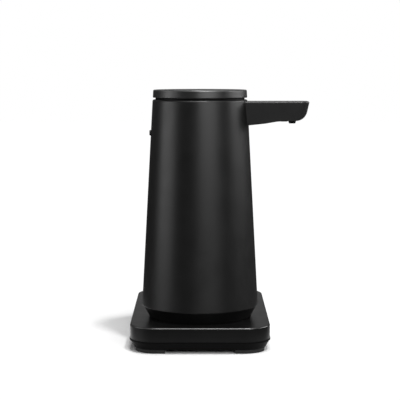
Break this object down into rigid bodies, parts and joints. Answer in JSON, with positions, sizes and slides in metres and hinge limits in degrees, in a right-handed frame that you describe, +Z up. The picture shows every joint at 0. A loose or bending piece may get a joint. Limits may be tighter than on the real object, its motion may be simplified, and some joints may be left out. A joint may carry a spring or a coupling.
{
  "type": "automatic soap dispenser",
  "caption": "Round tapered countertop soap dispenser with a sensor spout, lift-off lid and inner tube pump, standing on a low flat charging base.",
  "frame": {"origin": "on the dispenser's upright axis, at the plane of the base's rubber feet", "axes": "+Z up along the dispenser's axis, +X towards the spout's tip, +Y towards the rear end of the base with its power inlet"},
  "size_m": [0.1385, 0.1753, 0.1977],
  "materials": {
    "matt_casing": "fine matt black moulded plastic",
    "lid": "satin black moulded plastic, its flat top slightly brushed by wear",
    "spout": "satin black moulded plastic",
    "base_deck": "semi-gloss black moulded plastic",
    "base_lower": "matt black moulded plastic",
    "foot": "matt black moulded plastic",
    "collar": "matt black moulded plastic, in the shadow groove",
    "inner_plastic": "plain dark grey moulded plastic",
    "gear_plastic": "natural acetal, smooth",
    "clear_tank": "milky translucent polypropylene",
    "fitting_plastic": "white polypropylene",
    "nozzle": "soft black rubber",
    "button": "semi-gloss black plastic",
    "window": "dark smoked plastic, polished",
    "rubber": "matt black rubber",
    "tube_rubber": "milky silicone rubber",
    "lead": "matt dark lead insulation",
    "steel": "bright drawn steel",
    "contact_metal": "gilt contact surface",
    "circuit_board": "green laminate with a satin coating",
    "cell_wrap": "plain blue shrink sleeve"
  },
  "bodies": {
    "base": {"base_shell": "base_deck", "base_pan": "base_lower", "base_sole": "rubber", "base_screws": "steel", "base_board": "circuit_board", "power_inlet": "steel", "pin_housing": "inner_plastic", "pin_spring_1": "steel", "pin_spring_2": "steel", "base_lead": "lead"},
    "charge_pin_1": {"charge_pin_1": "contact_metal"},
    "charge_pin_2": {"charge_pin_2": "contact_metal"},
    "dispenser": {"body_shell": "matt_casing", "top_ring": "collar", "tank": "clear_tank", "tank_gasket": "rubber", "chassis": "inner_plastic", "bottom_cover": "foot", "foot_ring": "rubber", "bottom_screws": "steel", "charge_contacts": "contact_metal", "battery": "cell_wrap", "battery_holder": "inner_plastic", "control_board": "circuit_board", "harness": "lead", "motor_can": "steel", "motor_cap": "inner_plastic", "drive_frame": "inner_plastic", "drive_screws": "steel", "idler_axle": "steel", "pump_housing": "inner_plastic", "pump_cover": "inner_plastic", "pump_tube": "tube_rubber", "tube_fittings": "fitting_plastic", "inlet_tube": "tube_rubber", "riser_tube": "tube_rubber", "spout_upper": "spout", "spout_lower": "spout", "spout_screws": "steel", "nozzle": "nozzle", "nozzle_elbow": "fitting_plastic", "sensor_window": "window", "sensor_board": "circuit_board", "sensor_lead": "lead", "button_board": "circuit_board"},
    "lid": {"lid_cap": "lid", "lid_plug": "inner_plastic", "lid_seal": "rubber"},
    "button": {"button": "button"},
    "pump_rotor": {"pump_rotor": "gear_plastic", "rotor_gear": "gear_plastic", "pump_shaft": "steel", "roller_pins": "steel"},
    "roller_1": {"roller_1": "gear_plastic"},
    "roller_2": {"roller_2": "gear_plastic"},
    "roller_3": {"roller_3": "gear_plastic"},
    "idler": {"idler_gear": "gear_plastic"},
    "motor_rotor": {"motor_shaft": "steel", "pinion": "gear_plastic"}
  },
  "joints": [
    {"name": "dispenser_lift", "type": "slide", "parent": "base", "child": "dispenser", "axis": [0, 0, 1], "range_m": [0, 0.06]},
    {"name": "lid_lift", "type": "slide", "parent": "dispenser", "child": "lid", "axis": [0, 0, 1], "range_m": [0, 0.03]},
    {"name": "button_press", "type": "slide", "parent": "dispenser", "child": "button", "axis": [1, 0, 0], "range_m": [0, 0.0008], "stiffness_N_per_m": 1500, "springref_m": -0.0002},
    {"name": "pin_1_slide", "type": "slide", "parent": "base", "child": "charge_pin_1", "axis": [0, 0, 1], "range_m": [-0.0005, 0], "stiffness_N_per_m": 150, "springref_m": 0.0015, "deforming": ["pin_spring_1"]},
    {"name": "pin_2_slide", "type": "slide", "parent": "base", "child": "charge_pin_2", "axis": [0, 0, 1], "range_m": [-0.0005, 0], "stiffness_N_per_m": 150, "springref_m": 0.0015, "deforming": ["pin_spring_2"]},
    {"name": "pump_spin", "type": "hinge", "parent": "dispenser", "child": "pump_rotor", "pos_m": [-0.01, 0, 0.0806], "axis": [0, 0, 1], "continuous": true},
    {"name": "roller_1_spin", "type": "hinge", "parent": "pump_rotor", "child": "roller_1", "pos_m": [0.0012, 0, 0.0806], "axis": [0, 0, 1], "continuous": true},
    {"name": "roller_2_spin", "type": "hinge", "parent": "pump_rotor", "child": "roller_2", "pos_m": [-0.0156, 0.0097, 0.0806], "axis": [0, 0, 1], "continuous": true},
    {"name": "roller_3_spin", "type": "hinge", "parent": "pump_rotor", "child": "roller_3", "pos_m": [-0.0156, -0.0097, 0.0806], "axis": [0, 0, 1], "continuous": true},
    {"name": "idler_spin", "type": "hinge", "parent": "dispenser", "child": "idler", "pos_m": [0.008, 0, 0.0664], "axis": [0, 0, 1], "continuous": true},
    {"name": "motor_spin", "type": "hinge", "parent": "dispenser", "child": "motor_rotor", "pos_m": [0.0224, 0, 0.042], "axis": [0, 0, 1], "continuous": true}
  ],
  "couplings": [
    {"joint": "roller_1_spin", "follows": "pump_spin", "ratio": -3.86},
    {"joint": "roller_2_spin", "follows": "pump_spin", "ratio": -3.86},
    {"joint": "roller_3_spin", "follows": "pump_spin", "ratio": -3.86},
    {"joint": "idler_spin", "follows": "pump_spin", "ratio": -4},
    {"joint": "motor_spin", "follows": "pump_spin", "ratio": 12}
  ]
}
